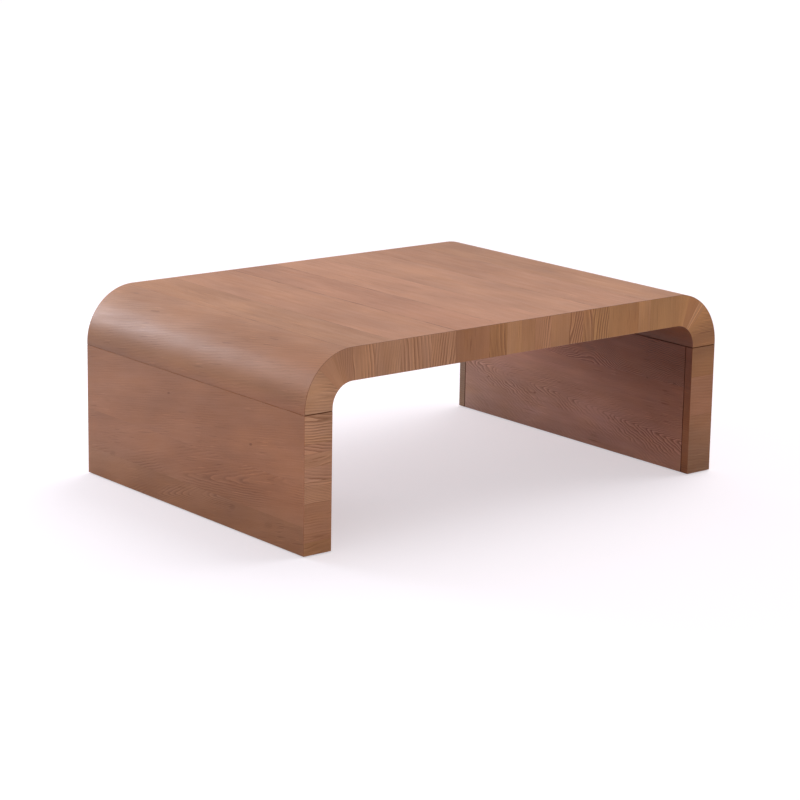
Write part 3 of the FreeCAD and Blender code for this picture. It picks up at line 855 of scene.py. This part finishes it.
def make_veneers():
    """The veneer in three strengths: outer faces, edges and inner faces."""
    return {
        "face": veneer(
            "face_veneer", (0.393, 0.143, 0.055, 1), cloudy=0.23, streaky=0.11, ring_depth=0.5, sweep=5,
            unruly=0.4, seam_depth=0.75, joint_depth=0.03, joint_hold=0.2, knots=FACE_KNOTS
        ),
        "edge": veneer(
            "edge_veneer", (0.449, 0.191, 0.083, 1), cloudy=0.28, streaky=0.12, ring_depth=0.75, sweep=14,
            unruly=0.15, seam_depth=0.3, joint_depth=0.85, joint_hold=0.9
        ),
        "inner": veneer(
            "inner_veneer", (0.398, 0.175, 0.114, 1), cloudy=0.20, streaky=0.14, ring_depth=0.9, sweep=9,
            unruly=0.9, seam_depth=0.4, joint_depth=0.85, joint_hold=0.8, knots=INNER_KNOTS
        ),
    }


FULL_DEPTH = (-HALF_DEPTH, HALF_DEPTH)
FULL_BOARD = (0.0, BOARD)
TOP_SPAN = (JOINT + JOINT_GAP, RIGHT_JOINT - JOINT_GAP)
LEG_SPANS = {
    "left": (LEG_BOTTOM, JOINT - JOINT_GAP),
    "right": (RIGHT_JOINT + JOINT_GAP, RIGHT_FLOOR - LEG_BOTTOM),
}
EDGE_SPANS = {"front": (-HALF_DEPTH, -FRAME_HALF), "back": (FRAME_HALF, HALF_DEPTH)}


def dress(piece, material, slot, *nodes):
    piece.data.materials.append(material)
    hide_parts(*nodes)
    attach(piece, "root")


def dress_top(finish):
    envelope = (TOP_SPAN, FULL_DEPTH, FULL_BOARD)
    ends = ((0, 0), (0, 1))
    sheets = dict(SHEETS, edge=VENEER_EDGE)
    span = (TOP_SPAN, FULL_DEPTH, (0.0, VENEER))
    outside = board("top_face", span, envelope, sheets, joints=ends, stain=FACE_STAIN)
    dress(outside, finish["face"], "face_veneer", "top_face_veneer")
    span = (TOP_SPAN, FULL_DEPTH, (BOARD - VENEER, BOARD))
    underside = board("top_underside", span, envelope, INNER_SHEETS, joints=ends)
    dress(underside, finish["inner"], "under_veneer", "top_under_veneer")
    parts = {
        "": ((LEFT_MITRE, RIGHT_MITRE), 0),
        "left_bend_": ((TOP_SPAN[0], LEFT_MITRE), LEFT_BEND),
        "right_bend_": ((RIGHT_MITRE, TOP_SPAN[1]), RIGHT_BEND),
    }
    for edge, y_span in EDGE_SPANS.items():
        for part, (s_span, level) in parts.items():
            name = "%s_%sedge_band" % (edge, part)
            node = "top_%s_%slipping" % (edge, part)
            spans = (s_span, y_span, (VENEER, BOARD - VENEER))
            piece = board(name, spans, envelope, SHEETS, joints=ends, level_grain=level)
            dress(piece, finish["edge"], "edge_lipping", node)


def dress_leg(side, finish):
    s_span = LEG_SPANS[side]
    envelope = (s_span, FULL_DEPTH, FULL_BOARD)
    top_joint = (0, 1) if side == "left" else (0, 0)
    leg = side + "_leg_"
    spans = (s_span, FULL_DEPTH, (0.0, VENEER))
    outside = board(leg + "outside", spans, envelope, SHEETS, joints=(top_joint,), stain=FACE_STAIN)
    dress(outside, finish["face"], "face_veneer", leg + "face_veneer")
    panel_box = (s_span, (-PANEL_HALF, PANEL_HALF), (PANEL_START, BOARD))
    seams = (top_joint, (1, 0), (1, 1))
    inside = board(leg + "inside", panel_box, panel_box, INNER_SHEETS, SEAM_EASE, seams)
    dress(inside, finish["inner"], "inner_panel", leg + "inner_panel")
    for edge, y_span in EDGE_SPANS.items():
        stile_box = (s_span, y_span, FULL_BOARD)
        spans = (s_span, y_span, (VENEER, BOARD))
        stile_seam = (1, 1) if edge == "front" else (1, 0)
        sheets = dict(SHEETS, face=STILE_FACES[edge])
        stile = board("%s%s_edge" % (leg, edge), spans, stile_box, sheets, joints=(top_joint, stile_seam))
        dress(stile, finish["edge"], "edge_lipping", "%s%s_stile" % (leg, edge))


def finish_hidden_nodes():
    """Materials of the CAD nodes that stay: the frame inside, the fasteners, glides and plugs."""
    by_slot = {
        "plywood_skin": bare_wood(
            "bending_plywood", rgb(214, 178, 134), rgb(176, 134, 92), (40, 900, 900), layer=1.6 * MM
        ),
        "rib_board": bare_wood("fibreboard", rgb(178, 144, 108), rgb(148, 114, 82), (700, 700, 700)),
        "rail_wood": bare_wood("rail_hardwood", rgb(206, 168, 122), rgb(166, 122, 78), (260, 9, 260)),
        "dowel_wood": bare_wood("beech_dowel", rgb(220, 184, 142), rgb(188, 146, 104), (500, 500, 18)),
        "bolt_steel": plated_steel("zinc_plate", (0.55, 0.56, 0.58, 1), 0.34),
        "insert_steel": plated_steel("yellow_zinc_plate", (0.62, 0.54, 0.34, 1), 0.38),
        "glide_plastic": moulded_plastic("glide_nylon", (0.035, 0.028, 0.024, 1), 0.5),
        "plug_plastic": moulded_plastic("plug_plastic", (0.085, 0.045, 0.03, 1), 0.45),
    }
    slots = {s["node"]: s["material_slot"] for s in frame["record"]["subparts"]}
    for node, shown in frame["nodes"].items():
        material = by_slot.get(slots[node])
        if material is not None:
            shown.data.materials.clear()
            shown.data.materials.append(material)


# Camera, stage and light

CAMERA_PLACE = Vector((-3.48285, -4.25608, 1.49672))
CAMERA_AZIMUTH = math.radians(-39.23)
CAMERA_ELEVATION = math.radians(13.68)
CAMERA_ROLL = math.radians(0.98)
CAMERA_LENS_MM = 119.33
SENSOR_MM = 36.0

FLOOR_REACH = 14.0
FLOOR_COLOUR = (0.8, 0.8, 0.8, 1)
FLOOR_SEEN_COLOUR = (0.66, 0.625, 0.665, 1)      # to the camera alone, with a glow of its own
FLOOR_GLOW_COLOUR = (1.0, 0.96, 0.99, 1)
FLOOR_GLOW = 0.48
WORLD_STRENGTH = 0.466                           # of the light from all round
WINDOW_COLOUR = (0.723, 0.864, 1.0)


def make_camera():
    """Camera at the photograph's place and angle."""
    across = math.cos(CAMERA_ELEVATION)
    back = Vector((
        math.sin(CAMERA_AZIMUTH) * across,
        -math.cos(CAMERA_AZIMUTH) * across,
        math.sin(CAMERA_ELEVATION),
    ))
    right = (-back).cross(Vector((0, 0, 1))).normalized()
    up = right.cross(-back)
    rolled_right = right * math.cos(CAMERA_ROLL) + up * math.sin(CAMERA_ROLL)
    rolled_up = up * math.cos(CAMERA_ROLL) - right * math.sin(CAMERA_ROLL)
    data = bpy.data.cameras.new("camera")
    data.lens = CAMERA_LENS_MM
    data.sensor_width = SENSOR_MM
    data.clip_end = 100.0
    camera = add_object("camera", data)
    matrix = Matrix((rolled_right, rolled_up, back)).transposed().to_4x4()
    matrix.translation = CAMERA_PLACE
    camera.matrix_world = matrix
    bpy.context.scene.camera = camera


def make_floor():
    """Pale floor that the camera sees as white wherever no shadow falls."""
    made, t, shader = new_material("floor")
    seen = t.node("ShaderNodeLightPath").outputs["Is Camera Ray"]
    t.feed(shader.inputs["Base Color"], t.mix(seen, FLOOR_COLOUR, FLOOR_SEEN_COLOUR))
    shader.inputs["Roughness"].default_value = 0.9
    shader.inputs["Specular IOR Level"].default_value = 0.1
    shader.inputs["Emission Color"].default_value = FLOOR_GLOW_COLOUR
    t.feed(shader.inputs["Emission Strength"], t.math("MULTIPLY", seen, FLOOR_GLOW))
    mesh = bpy.data.meshes.new("floor")
    corners = [(x * FLOOR_REACH, y * FLOOR_REACH, 0) for x, y in ((-1, -1), (1, -1), (1, 1), (-1, 1))]
    mesh.from_pydata(corners, [], [(0, 1, 2, 3)])
    mesh.materials.append(made)
    floor = add_object("floor", mesh)


def make_world():
    """Even light from all round, which the camera sees as white."""
    world = bpy.data.worlds.new("studio")
    bpy.context.scene.world = world
    world.use_nodes = True
    tree = world.node_tree
    tree.nodes.clear()
    t = Tree(tree)
    path = t.node("ShaderNodeLightPath")
    seen = t.math("ADD", path.outputs["Is Camera Ray"], path.outputs["Is Transmission Ray"], clamp=True)
    strength = t.ramp(seen, 0.0, 1.0, WORLD_STRENGTH, 1.0, smooth=False)
    background = t.node("ShaderNodeBackground", Color=(1, 1, 1, 1), Strength=strength)
    output = t.node("ShaderNodeOutputWorld")
    tree.links.new(background.outputs[0], output.inputs[0])


def soft_box(name, place, target, size, power, colour=(1, 1, 1)):
    """A lit rectangle at a place, facing a target."""
    data = bpy.data.lights.new(name, "AREA")
    data.shape = "RECTANGLE"
    data.size, data.size_y = size
    data.energy = power
    data.color = colour
    lamp = add_object(name, data)
    lamp.location = place
    lamp.rotation_euler = (Vector(target) - Vector(place)).to_track_quat("-Z", "Y").to_euler()


def soft_sun(name, direction, angle, strength):
    """Light from a patch of the studio's ceiling or wall, angle degrees wide."""
    data = bpy.data.lights.new(name, "SUN")
    data.energy = strength
    data.angle = math.radians(angle)
    add_object(name, data).rotation_euler = Vector(direction).to_track_quat("Z", "Y").to_euler()


def make_lights():
    soft_sun("right_ceiling", (0.7, 0.1, 0.7), angle=60, strength=1.60)
    soft_sun("back_ceiling", (0.18, 0.82, 0.54), angle=40, strength=0.24)
    soft_box(
        "back_window", (-1.2, 2.1, 0.95), (-0.55, 0.3, 0.35), size=(0.8, 0.8), power=14.7,
        colour=WINDOW_COLOUR
    )
    soft_box("back_soft_box", (-0.9, 1.9, 1.2), (-0.4, 0.2, 0.3), size=(1.4, 0.8), power=7.5)


finishes = make_veneers()
dress_top(finishes)
for leg_side in LEG_SPANS:
    dress_leg(leg_side, finishes)
finish_hidden_nodes()
make_camera()
make_floor()
make_world()
make_lights()
bpy.context.scene.view_settings.view_transform = "Standard"
